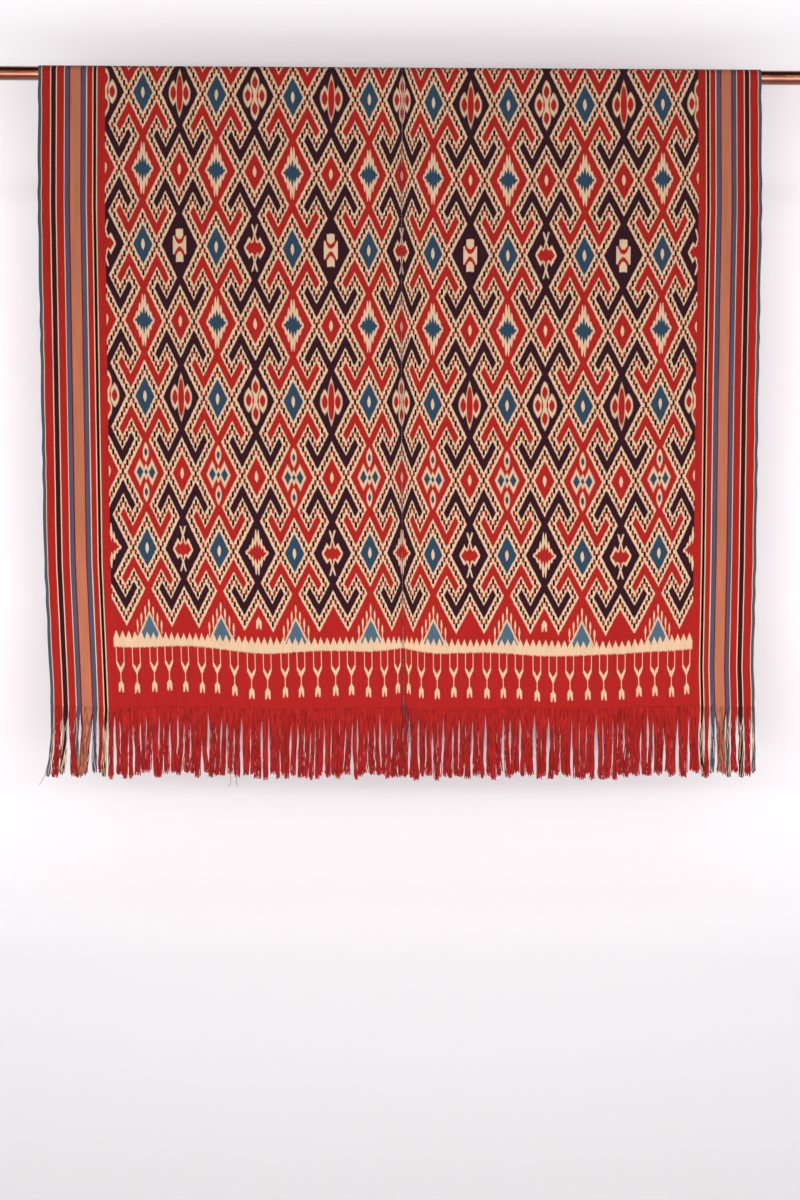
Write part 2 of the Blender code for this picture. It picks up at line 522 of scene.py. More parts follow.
def attributePair(tree, name):
    mapped = addNode(tree, "ShaderNodeUVMap", uv_map=name)
    split = addNode(tree, "ShaderNodeSeparateXYZ", {0: mapped.outputs[0]})
    return Wire(tree, split.outputs[0]), Wire(tree, split.outputs[1])


def shaded(tree, colour, shade):
    return addNode(tree, "ShaderNodeVectorMath", {0: colour, "Scale": shade}, operation="SCALE").outputs[0]


def bumped(tree, shader, height, strength, distance):
    bump = addNode(tree, "ShaderNodeBump", {"Strength": strength, "Distance": distance, "Height": height})
    feed(tree, shader.inputs["Normal"], bump.outputs[0])


def ownNoise(tree, scale, detail=2.0, stretch=(1.0, 1.0, 1.0)):
    # Noise that keeps to the piece's own metres
    place = addNode(tree, "ShaderNodeTexCoord")
    stretched = addNode(tree, "ShaderNodeMapping", {"Vector": place.outputs["Object"], "Scale": stretch})
    inputs = {"Vector": stretched.outputs[0], "Scale": scale, "Detail": detail}
    return Wire(tree, addNode(tree, "ShaderNodeTexNoise", inputs).outputs[0])


stripes = stripeGroup()
ikat = ikatGroup()
plainWeave = weaveGroup()
print("dye and weave groups made")


def clothMaterial():
    material, tree, shader = newMaterial(
        "ikatCotton", 0.88, Sheen_Weight=0.03, Sheen_Roughness=0.5, Specular_IOR_Level=0.12
    )
    across, along = attributePair(tree, "cloth")
    column, row = attributePair(tree, "figures")
    bundle = (across / figures["threadBundle"]).math("FLOOR")
    noise = addNode(tree, "ShaderNodeTexWhiteNoise", {"W": bundle}, noise_dimensions="1D")
    slide = (Wire(tree, noise.outputs["Value"]) - 0.5) * (2 * figures["jitter"])
    figured = useGroup(tree, ikat, column=column, row=row + slide)
    striped = useGroup(tree, stripes, across=across)
    colour = paint(tree, striped.outputs[0], figured.outputs[0], column.over(0.0, 0.1))
    woven = useGroup(tree, plainWeave, across=across, along=along)
    feed(tree, shader.inputs["Base Color"], shaded(tree, colour, woven.outputs["Shade"]))
    bumped(tree, shader, woven.outputs["Height"], 0.35, 0.0003)
    return material


def fringeMaterial():
    material, tree, shader = newMaterial(
        "looseWarp", 0.88, Sheen_Weight=0.04, Sheen_Roughness=0.5, Specular_IOR_Level=0.15
    )
    across, along = attributePair(tree, "cloth")
    striped = useGroup(tree, stripes, across=across)
    fibres = ownNoise(tree, 360.0, stretch=(1.0, 1.0, 0.12))
    # Random streaks of lighter and darker yarn, and painted shade that darkens each lock towards its root
    shade = fibres * 2.4 - 0.18 + along * 0.1
    feed(tree, shader.inputs["Base Color"], shaded(tree, striped.outputs[0], shade))
    bumped(tree, shader, fibres, 0.5, 0.0006)
    return material


def threadMaterial():
    material, tree, shader = newMaterial("sewingThread", 0.8, Specular_IOR_Level=0.2)
    spots = ownNoise(tree, 35.0)
    colour = paint(tree, dyes["paleThread"], dyes["darkThread"], spots.over(0.52, 0.1))
    feed(tree, shader.inputs["Base Color"], colour)
    bumped(tree, shader, spots, 0.3, 0.0003)
    return material


def rodMaterial():
    material, tree, shader = newMaterial(
        "bronzeBrown", 0.2, Metallic=1.0, Coat_Weight=0.35, Coat_Roughness=0.1
    )
    alongRod = (0.35, 1.0, 1.0)
    dents = ownNoise(tree, 90.0, 3.0, alongRod)
    worn = ownNoise(tree, 28.0, 5.0, alongRod).over(0.55, 0.35)
    feed(tree, shader.inputs["Base Color"], paint(tree, dyes["tarnish"], dyes["bronze"], worn))
    feed(tree, shader.inputs["Roughness"], worn * 0.08 + 0.13)
    bumped(tree, shader, dents, 0.3, 0.0014)
    return material


cotton = clothMaterial()
looseWarp = fringeMaterial()
sewingThread = threadMaterial()
bronze = rodMaterial()
print("materials made")

cloth = {
    "thickness": 0.0011,
    "innerRadius": 0.01565,
    "frontDrop": 1.335,
    "backDrop": 1.180,
    "foldGrowth": 1.4,
    "rightDrawUp": 0.011,
    "rippleLength": 0.330,
    "rippleHeight": 0.0014,
    "seamGap": 0.0005,
    "columns": 84,
    "frontRows": 130,
    "bendRows": 16,
    "backRows": 96,
    "selvedge": {"height": 0.0007, "reach": 0.02, "waves": (71, 23, 2)},
    "pucker": {"height": 0.0007, "reach": 0.03, "waves": (118, 31, 3)},
    "pullStart": 98,  # in ikat units from the border, where the seam starts to draw the figures in
    "pullReach": 30,
    "firstRowUnit": 0.00925,  # height of an ikat unit below the first row of figures
}

# Drop below the rod's axis, and x of the left selvedge, the seam and the right selvedge
outlines = {
    "front": (
        (0.000, -0.760, 0.005, 0.759),
        (0.280, -0.759, 0.005, 0.762),
        (0.650, -0.750, 0.007, 0.757),
        (1.030, -0.741, 0.011, 0.754),
        (1.250, -0.729, 0.015, 0.750),
        (1.335, -0.725, 0.016, 0.753),
    ),
    "back": (
        (0.000, -0.760, 0.005, 0.759),
        (0.600, -0.746, 0.003, 0.753),
        (1.180, -0.720, -0.002, 0.742),
    ),
}

# Soft vertical folds: wavelength, height at the woven end, shift
folds = {
    "front": ((0.610, 0.0048, 0.120), (0.270, 0.0026, 0.040), (0.145, 0.0010, 0.090)),
    "back": ((0.520, 0.0050, 0.300), (0.310, 0.0024, 0.010)),
}

# Each panel's ikat: its border's width against the left one's, the width of an ikat unit, how far the seam
# draws the last figures in, how many units the figures stray at every half figure, and for each column of
# figures from the border to the seam the first row's height above the hem and the rise to the next
panels = {
    "left": {
        "columns": (1, 2),
        "width": 0.766,
        "borderScale": 1.0,
        "unit": 0.004943,
        "seamPull": 1.7,
        "stray": (0.0, 0.0, 0.4, 0.75, 0.3, 0.2, -0.2, -0.5, -0.2, 0.0),
        "rows": ((0.3405, 0.3182), (0.3340, 0.3194), (0.3280, 0.3200), (0.3265, 0.3187), (0.3305, 0.3166)),
    },
    "right": {
        "columns": (2, 3),
        "width": 0.754,
        "borderScale": 0.938,
        "unit": 0.004969,
        "seamPull": 3.0,
        "stray": (0.0, 1.1, 0.5, 0.1, -0.1, -0.2, -0.1, 0.0, 0.0, 0.0),
        "rows": ((0.3335, 0.3143), (0.3194, 0.3178), (0.3221, 0.3164), (0.3241, 0.3154), (0.3305, 0.3166)),
    },
}


def between(low, high, share):
    return low + (high - low) * share


def dropOf(half):
    return cloth["frontDrop"] if half == "front" else cloth["backDrop"]


def outlineX(half, column, drop):
    table = outlines[half]
    for upper, lower in zip(table, table[1:]):
        if drop <= lower[0]:
            share = max(0.0, (drop - upper[0]) / (lower[0] - upper[0]))
            return between(upper[column], lower[column], share)
    return table[-1][column]


def foldDepth(half, x, shareDown):
    depth = 0.0
    for length, height, shift in folds[half]:
        depth += height * math.sin(2 * math.pi * (x + shift) / length)
    return depth * shareDown ** cloth["foldGrowth"]


def wovenDrop(half, x):
    drawnUp = cloth["rightDrawUp"] * max(0.0, x / outlines[half][-1][3]) ** 1.5
    ripple = cloth["rippleHeight"] * math.sin(2 * math.pi * x / cloth["rippleLength"])
    return dropOf(half) - drawnUp + ripple


def sheetX(panel, half, share, drop):
    first, last = panels[panel]["columns"]
    gap = cloth["seamGap"] / 2
    low = outlineX(half, first, drop) + (gap if panel == "right" else 0)
    high = outlineX(half, last, drop) - (gap if panel == "left" else 0)
    return between(low, high, share)


def fromSelvedge(panel, share):
    return share if panel == "left" else 1 - share


def edgeWave(edge, distance, drop):
    # An irregular small wave down an edge, which dies out away from it
    fast, slow, sway = edge["waves"]
    wave = math.sin(drop * fast + sway * math.sin(drop * slow))
    return math.exp(-distance / edge["reach"]) * edge["height"] * wave


def hangingPoint(panel, half, share, shareDown, radius):
    x = sheetX(panel, half, share, shareDown * dropOf(half))
    drop = shareDown * wovenDrop(half, x)
    outer = fromSelvedge(panel, share)
    x += edgeWave(cloth["selvedge"], outer, drop)
    pucker = edgeWave(cloth["pucker"], 1 - outer, drop) * min(1, shareDown * 8)  # none on the rod
    side = -1 if half == "front" else 1
    return Vector((x, side * (radius + pucker) + foldDepth(half, x, shareDown), -drop))


def drapedPoint(panel, share, row):
    # Row 0 is the front hem, and the last row is the back hem
    front, bend = cloth["frontRows"], cloth["bendRows"]
    radius = cloth["innerRadius"]
    if row < front:
        return hangingPoint(panel, "front", share, 1 - row / front, radius)
    if row > front + bend:
        return hangingPoint(panel, "back", share, (row - front - bend) / cloth["backRows"], radius)
    angle = math.pi * (row - front) / bend
    x = sheetX(panel, "front", share, 0.0)
    return Vector((x, -radius * math.cos(angle), radius * math.sin(angle)))


def tableAt(table, place):
    # A table's value at a place between two of its entries
    place = min(max(place, 0.0), len(table) - 1.001)
    index = int(place)
    return between(table[index], table[index + 1], place - index)


def rowMeasures(panel, column):
    # First row's height above the hem and the rise to the next, between two columns of figures
    place = column / (2 * figures["halfFigure"])
    return [tableAt(measures, place) for measures in zip(*panels[panel]["rows"])]


def figurePlace(panel, across, along, length):
    # Place on the ikat lattice, counted up from the front hem to the middle row and on down to the back hem
    data = panels[panel]
    half = figures["halfFigure"]
    column = (across - borderWidth * data["borderScale"]) / data["unit"]
    pulled = column
    for _ in range(4):  # the pull depends on the place it leads to, so it closes in on it
        pull = max(0.0, (pulled - cloth["pullStart"]) / cloth["pullReach"]) ** 4
        pulled = column + data["seamPull"] * pull
    column = pulled + tableAt(data["stray"], pulled / half)
    firstRow, rise = rowMeasures(panel, column)
    middle = firstRow + 3 * rise
    height = along if along < middle else (length - along) * middle / (length - middle)
    row = (height - firstRow) / (cloth["firstRowUnit"] if height < firstRow else rise / (2 * half))
    return column, row if along < middle else 12 * half - row


def clothPlace(panel, share):
    # Distance from the outer selvedge, with the right border's stripes brought to the left one's width
    data = panels[panel]
    across = fromSelvedge(panel, share) * data["width"]
    border = borderWidth * data["borderScale"]
    striped = across / data["borderScale"] if across < border else across - border + borderWidth
    return across, striped


def addPiece(name, mesh, material):
    mesh.materials.clear()
    mesh.materials.append(material)
    piece = bpy.data.objects.new(name, mesh)
    bpy.context.scene.collection.objects.link(piece)
    return piece


def weavePanel(panel):
    front, bend, back = cloth["frontRows"], cloth["bendRows"], cloth["backRows"]
    rows = front + bend + back
    bm = bmesh.new()
    bmesh.ops.create_grid(bm, x_segments=cloth["columns"], y_segments=rows, size=0.5)
    length = cloth["frontDrop"] + math.pi * cloth["innerRadius"] + cloth["backDrop"]
    clothMap = bm.loops.layers.uv.new("cloth")
    figureMap = bm.loops.layers.uv.new("figures")
    places = {}
    for vert in bm.verts:
        share = vert.co.x + 0.5
        row = round((vert.co.y + 0.5) * rows)
        if row < front:
            along = cloth["frontDrop"] * row / front
        elif row <= front + bend:
            along = cloth["frontDrop"] + math.pi * cloth["innerRadius"] * (row - front) / bend
        else:
            along = length - cloth["backDrop"] * (rows - row) / back
        across, striped = clothPlace(panel, share)
        places[vert] = ((striped, along), figurePlace(panel, across, along, length))
        vert.co = drapedPoint(panel, share, row)
    for face in bm.faces:
        face.smooth = True
        for loop in face.loops:
            loop[clothMap].uv, loop[figureMap].uv = places[loop.vert]
    mesh = bpy.data.meshes.new(f"woven_{panel}")
    bm.to_mesh(mesh)
    bm.free()
    piece = addPiece(f"woven_{panel}", mesh, cotton)
    shell = piece.modifiers.new("clothThickness", "SOLIDIFY")
    shell.thickness = cloth["thickness"]
    shell.offset = 1.0
    shell.use_even_offset = True
    return piece


wovenPanels = {panel: weavePanel(panel) for panel in panels}
for panel, piece in wovenPanels.items():
    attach(piece, "root")
    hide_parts(f"panel_{panel}")
print("panels woven and draped")

fringe = {
    "yarns": {"front": 27, "back": 14},
    "length": 0.140,
    "uneven": 0.007,
    "lockWidth": (0.0085, 0.0165),
    "sway": 0.0046,
    "guidePoints": 13,
    "yarnRadius": 0.00085,
    "bundleShare": 0.43,  # half the width of a gathered lock, against its width at the hem
    "gatherReach": 0.4,  # share of a lock's length over which its yarns gather
    "yarnTurn": 2.4,  # radians from a yarn to the next one around the lock, and from a lock to the next
    "lockTurn": 1.9,
    "twist": 0.55,  # turns down a lock's length
    "flatness": 0.75,
    "waviness": 0.0013,
    "crimp": 0.0003,
    "ragged": 0.00715,
    "sides": 4,
    "seed": 11,
}

# Locks under the striped border, which keep to its stripes: far edge from the selvedge, and lean outwards
borderLocks = (
    (0.0081, 0.010),
    (0.0253, 0.005),
    (0.0393, 0.009),
    (0.0543, -0.004),
    (0.0646, 0.001),
    (0.0783, 0.008),
    (0.0920, 0.010),
    (0.1031, 0.001),
    (0.1139, 0.000),
    (0.1246, 0.004),
)
leanShare = {"left": 1.0, "right": 0.35}


def makeTree(name, floats, numbers):
    # A geometry tree, what each input gives, and its end. Every use of the tree sets all its inputs.
    inputs = [
        ("Geometry", "Geometry"),
        *((label, "Float") for label in floats),
        *((label, "Int") for label in numbers),
        ("material", "Material"),
    ]
    tree, start, end = makeGroup(name, inputs, [("Geometry", "Geometry")], "GeometryNodeTree")
    return tree, {label: Wire(tree, start.outputs[label]) for label, sort in inputs}, end


def tubeAlong(tree, line, radius, sides):
    # A capped tube along each line
    ring = addNode(tree, "GeometryNodeCurvePrimitiveCircle", {"Resolution": sides, "Radius": radius})
    inputs = {"Curve": line, "Profile Curve": ring.outputs["Curve"], "Fill Caps": True}
    return addNode(tree, "GeometryNodeCurveToMesh", inputs).outputs[0]


def endTree(tree, shapes, material, end):
    whole = addNode(tree, "GeometryNodeRealizeInstances", {0: shapes})
    dyed = addNode(tree, "GeometryNodeSetMaterial", {"Geometry": whole.outputs[0], "Material": material})
    feed(tree, end.inputs[0], dyed.outputs[0])


def fringeTree():
    # Turns each guide line into a lock: its yarns start side by side and twist together further down
    floats = ("yarnRadius", "bundleShare", "twist", "waviness", "crimp", "ragged", "side")
    tree, given, end = makeTree("fringeLocks", floats, ("yarns", "seed"))

    def chance(number, low, high, seedShift):
        # One number for each yarn, from its own number
        inputs = {2: low, 3: high, "ID": number, "Seed": given["seed"] + seedShift}
        return Wire(tree, addNode(tree, "FunctionNodeRandomValue", inputs, data_type="FLOAT").outputs[1])

    def wave(speed, strength, seedShift):
        # A wave down each yarn that starts at its own place
        return (down * speed + chance(yarn, 0.0, 6.28, seedShift)).math("SINE") * strength

    def stored(name):
        made = addNode(tree, "GeometryNodeInputNamedAttribute", {"Name": name}, data_type="FLOAT")
        return Wire(tree, made.outputs["Attribute"])

    def store(shapes, name, value, kind="FLOAT", domain="POINT"):
        inputs = {"Geometry": shapes, "Name": name, "Value": value}
        settings = {"data_type": kind, "domain": domain}
        return addNode(tree, "GeometryNodeStoreNamedAttribute", inputs, **settings).outputs[0]

    curves = addNode(tree, "GeometryNodeMeshToCurve", {"Mesh": given["Geometry"]})
    inputs = {"Geometry": curves.outputs["Curve"], "Amount": given["yarns"]}
    copies = addNode(tree, "GeometryNodeDuplicateElements", inputs, domain="SPLINE")
    number = Wire(tree, copies.outputs["Duplicate Index"])
    lock = stored("lock")
    width = stored("lockWidth")
    yarn = lock * 64 + number  # its own number, as no lock has 64 yarns
    down = Wire(tree, addNode(tree, "GeometryNodeSplineParameter").outputs["Factor"])

    rootShare = (number + 0.5) / given["yarns"] - 0.5
    rootX = rootShare * width
    gather = ((down - stored("gatherStart")) / fringe["gatherReach"]).least(1.0).most(0.0)
    gather = gather * gather * (gather * -2 + 3.0) * stored("gatherPull")
    turn = number * fringe["yarnTurn"] + lock * fringe["lockTurn"] + down * given["twist"] * (2 * math.pi)
    # Every other lock twists the other way
    turn = turn * ((lock * 0.5).math("FRACT").over(0.25, 0.1) * 2.0 - 1.0)
    reach = (rootShare.size() * 2.0).math("SQRT") * given["bundleShare"] * width
    reach = reach * (down * down * 0.4 + 0.8)
    bundleX = turn.math("COSINE") * reach
    bundleY = turn.math("SINE") * reach * fringe["flatness"]
    rootY = chance(yarn, -0.0004, 0.0004, 3)
    waviness = given["waviness"] * down
    offX = rootX + (bundleX - rootX) * gather + wave(9, waviness, 5) + wave(46, given["crimp"], 11) * gather
    offY = rootY + (bundleY - rootY) * gather + wave(7, waviness, 7)
    trim = chance(yarn, -1.0, 0.6, 9) * given["ragged"] * down
    offset = addNode(tree, "ShaderNodeCombineXYZ", {0: offX, 1: offY, 2: -trim})
    inputs = {"Geometry": copies.outputs["Geometry"], "Offset": offset.outputs[0]}
    moved = addNode(tree, "GeometryNodeSetPosition", inputs).outputs[0]

    placed = store(moved, "warpAcross", stored("lockAcross") + rootX * given["side"])
    tube = tubeAlong(tree, store(placed, "warpAlong", down), given["yarnRadius"], fringe["sides"])
    pair = addNode(tree, "ShaderNodeCombineXYZ", {0: stored("warpAcross"), 1: stored("warpAlong")})
    endTree(tree, store(tube, "cloth", pair.outputs[0], "FLOAT2", "CORNER"), given["material"], end)
    return tree


def setInputs(modifier, values):
    for socket in modifier.node_group.interface.items_tree:
        if getattr(socket, "in_out", "") == "INPUT" and socket.name in values:
            modifier[socket.identifier] = values[socket.name]


def grown(name, guide, tree, values):
    # Runs a node tree on a guide and keeps the result as a plain mesh
    guideObject = bpy.data.objects.new(f"{name}_guide", guide)
    bpy.context.scene.collection.objects.link(guideObject)
    modifier = guideObject.modifiers.new("nodes", "NODES")
    modifier.node_group = tree
    setInputs(modifier, values)
    shown = guideObject.evaluated_get(bpy.context.evaluated_depsgraph_get())
    mesh = bpy.data.meshes.new_from_object(shown)
    bpy.data.objects.remove(guideObject)
    mesh.name = name
    return mesh


def hemPoint(panel, half, share):
    return hangingPoint(panel, half, share, 1.0, cloth["innerRadius"] + cloth["thickness"] / 2)


def lineGuide(name, lines):
    # Lines for the lock tree. Each comes with its number, its place across the cloth, where and how much its
    # yarns gather, and its width.
    points, edges = [], []
    values = {"lock": [], "lockAcross": [], "gatherStart": [], "gatherPull": [], "lockWidth": []}
    for line, *numbers in lines:
        for step, point in enumerate(line):
            points.append(point)
            if step:
                edges.append((len(points) - 2, len(points) - 1))
            for column, number in zip(values.values(), numbers):
                column.append(number)
    guide = bpy.data.meshes.new(name)
    guide.from_pydata(points, edges, [])
    for label, column in values.items():
        guide.attributes.new(label, "FLOAT", "POINT").data.foreach_set("value", column)
    return guide


def lockEdges(panel, chance):
    data = panels[panel]
    edges = [0.0, *(edge * data["borderScale"] for edge, lean in borderLocks)]
    while edges[-1] < data["width"] - fringe["lockWidth"][0]:
        edges.append(edges[-1] + chance.uniform(*fringe["lockWidth"]))
    edges[-1] = data["width"]
    return edges


def fringeGuide(panel, half):
    # One line for each lock
    chance = random.Random(f"{fringe['seed']} {half} {panel}")

    def spread(reach):
        return chance.uniform(-reach, reach)

    edges = lockEdges(panel, chance)
    steps = fringe["guidePoints"]
    outward = -1 if panel == "left" else 1
    drawnIn = abs(hemPoint(panel, half, 1.0).x - hemPoint(panel, half, 0.0).x) / panels[panel]["width"]
    lines = []
    for lock, (low, high) in enumerate(zip(edges, edges[1:])):
        share = fromSelvedge(panel, (low + high) / 2 / panels[panel]["width"])
        root = hemPoint(panel, half, share)
        length = fringe["length"] + spread(fringe["uneven"])
        inBorder = lock < len(borderLocks)
        lean = borderLocks[lock][1] * leanShare[panel] * outward if inBorder and half == "front" else 0.0
        endX = spread(fringe["sway"]) * (0.4 if inBorder else 1.0) + lean
        endY = spread(fringe["sway"])
        bowX = spread(fringe["sway"]) * 0.6
        line = []
        for step in range(steps):
            down = step / (steps - 1)
            bow = math.sin(down * math.pi) * bowX
            line.append(root + Vector((endX * down ** 1.5 + bow, endY * down, 0.0015 - length * down)))
        gatherStart = chance.uniform(0.02, 0.10) if inBorder else chance.uniform(0.06, 0.20)
        gatherPull = chance.uniform(0.8, 1.0) if inBorder else chance.choice((0.25, 0.6, 0.85, 1.0))
        across = clothPlace(panel, share)[1]
        lines.append((line, lock, across, gatherStart, gatherPull, (high - low) * drawnIn))
    return lineGuide(f"locks_{half}_{panel}", lines)


lockTree = fringeTree()
for half in ("front", "back"):
    for panel in panels:
        side = 1.0 if panel == "left" else -1.0
        values = {**fringe, "yarns": fringe["yarns"][half], "side": side, "material": looseWarp}
        name = f"loose_warp_{half}_{panel}"
        mesh = grown(name, fringeGuide(panel, half), lockTree, values)
        piece = addPiece(name, mesh, looseWarp)
        piece.data.shade_smooth()
        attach(piece, "root")
        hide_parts(f"fringe_{half}_{panel}")
print("fringes twisted")

looseThreads = {
    "yarnRadius": 0.0005,
    "waviness": 0.0008,
    "steps": 5,
    "red": (  # x and z of each thread's points in front of the fringe
        ((-0.004, -1.402), (0.012, -1.408), (0.034, -1.398), (0.052, -1.378), (0.062, -1.352)),
        ((-0.348, -1.440), (-0.346, -1.486), (-0.350, -1.497)),
        ((0.118, -1.352), (0.124, -1.384), (0.119, -1.420), (0.127, -1.462)),
        ((-0.560, -1.356), (-0.552, -1.398), (-0.563, -1.440), (-0.556, -1.480)),
    ),
    "blue": (
        ((0.018, -1.326), (0.021, -1.348), (0.029, -1.372), (0.026, -1.404)),
        ((-0.727, -1.440), (-0.738, -1.480), (-0.748, -1.497)),
        ((-0.330, -1.440), (-0.333, -1.482), (-0.331, -1.496)),
        ((0.013, -1.318), (0.016, -1.340), (0.022, -1.362), (0.019, -1.382)),
    ),
    # Dark threads at the seam, in the slit between the two panels' locks: partly dark yarn, partly painted
    # shade of the slit
    "brown": (
        ((0.015, -1.322), (0.019, -1.350), (0.027, -1.385), (0.024, -1.430)),
        ((0.011, -1.325), (0.014, -1.360), (0.010, -1.400), (0.015, -1.440)),
        ((0.021, -1.325), (0.027, -1.352), (0.037, -1.380)),
    ),
}


def smoothLine(points, steps):
    # A Catmull-Rom line through the points
    ends = [points[0], *points, points[-1]]
    line = []
    for index in range(len(points) - 1):
        a, b, c, d = (Vector(point) for point in ends[index:index + 4])
        for step in range(steps):
            t = step / steps
            squared = (a - b * 2.5 + c * 2 - d / 2) * t * t
            cubed = (b * 3 - a - c * 3 + d) * t ** 3 / 2
            line.append(b + (c - a) * t / 2 + squared + cubed)
    return [*line, Vector(points[-1])]


def threadGuide():
    front = -cloth["innerRadius"] - 0.006
    lines = []
    # The dark seam threads take the brown stripe's dye and stand partly for painted shade in the slit
    for dye, across in (("red", 0.3), ("blue", 0.003), ("brown", 0.032)):
        for points in looseThreads[dye]:
            placed = [(x, front + foldDepth("front", x, 1.0), z) for x, z in points]
            lines.append((smoothLine(placed, looseThreads["steps"]), len(lines), across, 0.0, 1.0, 0.0))
    return lineGuide("looseThreadLines", lines)


threadValues = {label: 0.0 for label in ("bundleShare", "twist", "crimp", "ragged")}
threadValues.update(looseThreads, yarns=1, side=1.0, seed=fringe["seed"], material=looseWarp)
strays = addPiece("loose_threads", grown("loose_threads", threadGuide(), lockTree, threadValues), looseWarp)
strays.data.shade_smooth()
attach(strays, "root")
print("loose threads laid")

seam = {
    "pitch": 0.0066,
    "length": 0.0052,
    "radius": 0.0005,
    "slant": 0.42,
    "lift": 0.0003,
    "unevenness": 0.35,
    "sides": 6,
    "seed": 5,
}


def stitchTree():
    # Short slanted stitches that lie across the seam
    floats = ("pitch", "length", "radius", "slant", "unevenness")
    tree, given, end = makeTree("seamStitches", floats, ("seed",))
    curve = addNode(tree, "GeometryNodeMeshToCurve", {"Mesh": given["Geometry"]})
    inputs = {"Curve": curve.outputs[0], "Length": given["pitch"]}
    points = addNode(tree, "GeometryNodeCurveToPoints", inputs, mode="LENGTH")
    inputs = {"Start": (0, 0, 0), "Direction": (0, 0, 1), "Length": given["length"]}
    line = addNode(tree, "GeometryNodeCurvePrimitiveLine", inputs, mode="DIRECTION")
    tube = tubeAlong(tree, line.outputs[0], given["radius"], seam["sides"])
    middle = addNode(tree, "ShaderNodeCombineXYZ", {2: given["length"] * -0.5})
    centred = addNode(tree, "GeometryNodeTransform", {"Geometry": tube, "Translation": middle.outputs[0]})
    inputs = {2: -1.0, 3: 1.0, "Seed": given["seed"]}
    chance = addNode(tree, "FunctionNodeRandomValue", inputs, data_type="FLOAT")
    lean = given["slant"] + Wire(tree, chance.outputs[1]) * given["unevenness"]
    turned = addNode(tree, "FunctionNodeAxisAngleToRotation", {"Axis": (0, 1, 0), "Angle": lean})
    inputs = {"Rotation": points.outputs["Rotation"], "Rotate By": turned.outputs[0]}
    placed = addNode(tree, "FunctionNodeRotateRotation", inputs, rotation_space="LOCAL")
    inputs = {"Points": points.outputs[0], "Instance": centred.outputs[0], "Rotation": placed.outputs[0]}
    copies = addNode(tree, "GeometryNodeInstanceOnPoints", inputs)
    endTree(tree, copies.outputs[0], given["material"], end)
    return tree


def seamGuide():
    # The seam's line on the cloth's outer face, from the front hem over the rod to the back hem
    front, bend = cloth["frontRows"], cloth["bendRows"]
    lift = cloth["thickness"] + seam["lift"]
    points = []
    for row in range(1, front + bend + cloth["backRows"]):
        left = drapedPoint("left", 1.0, row)
        right = drapedPoint("right", 0.0, row)
        middle = (left + right) / 2
        if row < front:
            out = Vector((0, -1, 0))
        elif row > front + bend:
            out = Vector((0, 1, 0))
        else:
            out = Vector((0, middle.y, middle.z)).normalized()
        points.append(middle + out * lift)
    guide = bpy.data.meshes.new("seamLine")
    guide.from_pydata(points, [(index, index + 1) for index in range(len(points) - 1)], [])
    return guide


stitchValues = {**seam, "material": sewingThread}
stitchMesh = grown("seam_stitches", seamGuide(), stitchTree(), stitchValues)
stitches = addPiece("seam_stitches", stitchMesh, sewingThread)
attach(stitches, "root")
print("seam sewn")

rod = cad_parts["rod"]
rod.data.materials.clear()
rod.data.materials.append(bronze)
print("rod finished")

studio = {
    "floorDrop": 1.55,  # below the picture's middle
    "wallBehind": 0.35,
    "sweepRadius": 0.8,
    "wallHeight": 4.6,
    "halfWidth": 5.0,
    "reach": 6.0,
    "bendSteps": 12,
    "skyStrength": 1.03,
    "ceilingGlow": 0.06,  # against the sky's strength at the horizon
    "floorPaintedShade": 0.30,  # painted shade: how much darker the sweep is at its foot and at its top
    "topPaintedShade": 0.21,
}

# Area lamps: place and aim, both from the picture's middle, size and power. A lamp without an aim is the high
# strip whose highlight runs along the rod.
lamps = {
    "sideLeft": ((-2.7, -3.2, 0.0), (0, 0, 0), (1.8, 2.2), 17.0),
    "sideRight": ((2.7, -3.2, 0.0), (0, 0, 0), (1.8, 2.2), 17.0),
    "frontStrip": ((0, -4.6, 0.3), (0, 0, 0), (5.2, 0.45), 62.0),
    "frontSoft": ((0, -4.7, 0.1), (0, 0, 0), (5.2, 2.6), 60.0),
    "rodStrip": ((0, -4.6, 3.6), None, (5.2, 0.6), 45.0),
    "frontLow": ((0, -4.4, -1.0), (0, 0, -0.5), (4.0, 1.0), 50.0),
}


def pictureMiddle():
    # World place of the picture's middle, on the cloth's front
    down = (photo["height"] / 2 - photo["rodMiddleDown"]) * photo["metresPerPixel"]
    return Vector((down * photo["rodSlope"], -cloth["innerRadius"], -down))


def addCamera():
    data = bpy.data.cameras.new("camera")
    data.sensor_width = 36.0
    data.lens = data.sensor_width * photo["cameraDistance"] / (photo["height"] * photo["metresPerPixel"])
    camera = bpy.data.objects.new("camera", data)
    camera.location = pictureMiddle() - Vector((0, photo["cameraDistance"], 0))
    camera.rotation_euler = (math.pi / 2, -math.atan(photo["rodSlope"]), 0)
    bpy.context.scene.collection.objects.link(camera)
    bpy.context.scene.camera = camera


def heightIn(tree, space):
    place = addNode(tree, "ShaderNodeTexCoord")
    return Wire(tree, addNode(tree, "ShaderNodeSeparateXYZ", {0: place.outputs[space]}).outputs[2])


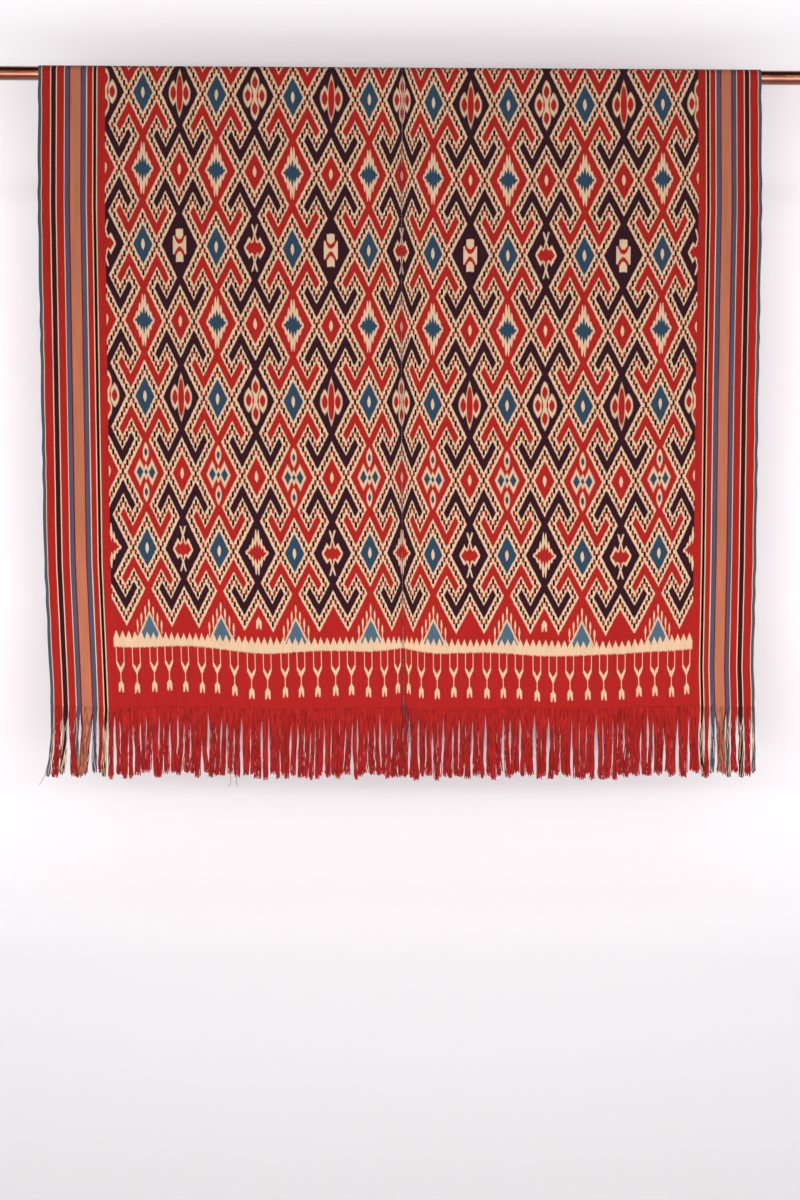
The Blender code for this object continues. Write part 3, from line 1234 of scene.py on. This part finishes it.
def addSweep():
    # Pale floor that curves up into a wall, see-through from behind, with painted shade at its foot and its
    # top
    floor = pictureMiddle().z - studio["floorDrop"]
    radius = studio["sweepRadius"]
    wall = studio["wallBehind"]
    profile = [(-studio["reach"], floor), (wall - radius, floor)]
    for step in range(1, studio["bendSteps"] + 1):
        angle = math.pi / 2 * step / studio["bendSteps"]
        y = wall - radius + radius * math.sin(angle)
        profile.append((y, floor + radius - radius * math.cos(angle)))
    profile.append((wall, floor + studio["wallHeight"]))
    half = studio["halfWidth"]
    points = [(side * half, y, z) for y, z in profile for side in (-1, 1)]
    faces = [(i, i + 1, i + 3, i + 2) for i in range(0, len(points) - 2, 2)]
    mesh = bpy.data.meshes.new("sweep")
    mesh.from_pydata(points, [], faces)
    mesh.shade_smooth()
    material, tree, shader = newMaterial("paleSweep", 0.9, Specular_IOR_Level=0.1)
    height = heightIn(tree, "Object")
    # Painted shade: the sweep darkens towards its foot and its top
    paintedShade = height.under(-1.5, 0.8) * studio["floorPaintedShade"] + height.over(-0.08, 0.35) * studio["topPaintedShade"]
    feed(tree, shader.inputs["Base Color"], shaded(tree, dyes["paper"][:3], -paintedShade + 1.0))
    clear = addNode(tree, "ShaderNodeBsdfTransparent")
    facing = addNode(tree, "ShaderNodeNewGeometry")
    inputs = {0: facing.outputs["Backfacing"], 1: shader.outputs[0], 2: clear.outputs[0]}
    mix = addNode(tree, "ShaderNodeMixShader", inputs)
    feed(tree, tree.nodes["Material Output"].inputs[0], mix.outputs[0])
    addPiece("sweep", mesh, material)


def addLamp(name, place, aim, size, power):
    data = bpy.data.lights.new(name, "AREA")
    data.shape = "RECTANGLE"
    data.size, data.size_y = size
    data.energy = power
    lamp = bpy.data.objects.new(name, data)
    lamp.location = place
    lamp.rotation_euler = (Vector(aim) - Vector(place)).to_track_quat("-Z", "Y").to_euler()
    lamp.visible_camera = False
    bpy.context.scene.collection.objects.link(lamp)


def addSky():
    # Even pale surround that darkens overhead, as in a studio with a dark ceiling
    world = bpy.data.worlds.new("studio")
    world.use_nodes = True
    tree = world.node_tree
    ceiling = studio["ceilingGlow"]
    glow = heightIn(tree, "Generated").under(0.35, 0.9) * (1 - ceiling) + ceiling
    background = tree.nodes["Background"]
    background.inputs["Color"].default_value = (1.0, 0.965, 0.985, 1.0)
    feed(tree, background.inputs["Strength"], glow * studio["skyStrength"])
    bpy.context.scene.world = world


def lightStudio():
    middle = pictureMiddle()
    for name, (place, aim, size, power) in lamps.items():
        target = Vector((0, 0, 0)) if aim is None else middle + Vector(aim)
        addLamp(name, middle + Vector(place), target, size, power)
    addSky()
    bpy.context.scene.view_settings.view_transform = "Standard"


addSweep()
addCamera()
lightStudio()
print("studio lit")
